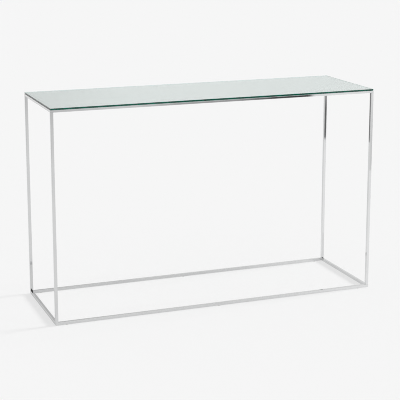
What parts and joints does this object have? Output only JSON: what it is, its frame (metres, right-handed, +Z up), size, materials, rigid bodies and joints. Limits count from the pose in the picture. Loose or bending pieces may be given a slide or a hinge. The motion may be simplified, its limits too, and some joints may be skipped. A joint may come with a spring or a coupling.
{
  "type": "console table",
  "caption": "Console table with a slim chromed square-bar frame, open rings at top and floor, and a loose mirror-glass top",
  "frame": {"origin": "On the floor under the middle of the top, at the centre of the footprint", "axes": "+X along the table to the right as seen from the front, +Y to the back, +Z up"},
  "size_m": [1.2, 0.38, 0.75],
  "materials": {
    "chrome_steel": "polished chrome plate",
    "screw_steel": "zinc plated",
    "white_nylon": "moulded nylon",
    "clear_polyurethane": "soft clear polyurethane",
    "green_edge_glass": "float glass, polished edge",
    "mirror_silver": "silvered, painted behind",
    "grey_film": "woven safety film"
  },
  "bodies": {
    "frame": {"top_front_rail": "chrome_steel", "top_back_rail": "chrome_steel", "top_left_rail": "chrome_steel", "top_right_rail": "chrome_steel", "bottom_front_rail": "chrome_steel", "bottom_back_rail": "chrome_steel", "bottom_left_rail": "chrome_steel", "bottom_right_rail": "chrome_steel", "front_left_leg": "chrome_steel", "front_right_leg": "chrome_steel", "back_left_leg": "chrome_steel", "back_right_leg": "chrome_steel", "top_leg_screws": "screw_steel", "bottom_leg_screws": "screw_steel", "floor_glide_front_left": "white_nylon", "floor_glide_front_middle": "white_nylon", "floor_glide_front_right": "white_nylon", "floor_glide_back_left": "white_nylon", "floor_glide_back_middle": "white_nylon", "floor_glide_back_right": "white_nylon", "glass_bumpers": "clear_polyurethane"},
    "mirror_top": {"mirror_glass": "green_edge_glass", "silver_coat": "mirror_silver", "safety_film": "grey_film"}
  },
  "joints": [
    {"name": "top_lift", "type": "slide", "parent": "frame", "child": "mirror_top", "axis": [0, 0, 1], "range_m": [0, 0.15]}
  ]
}
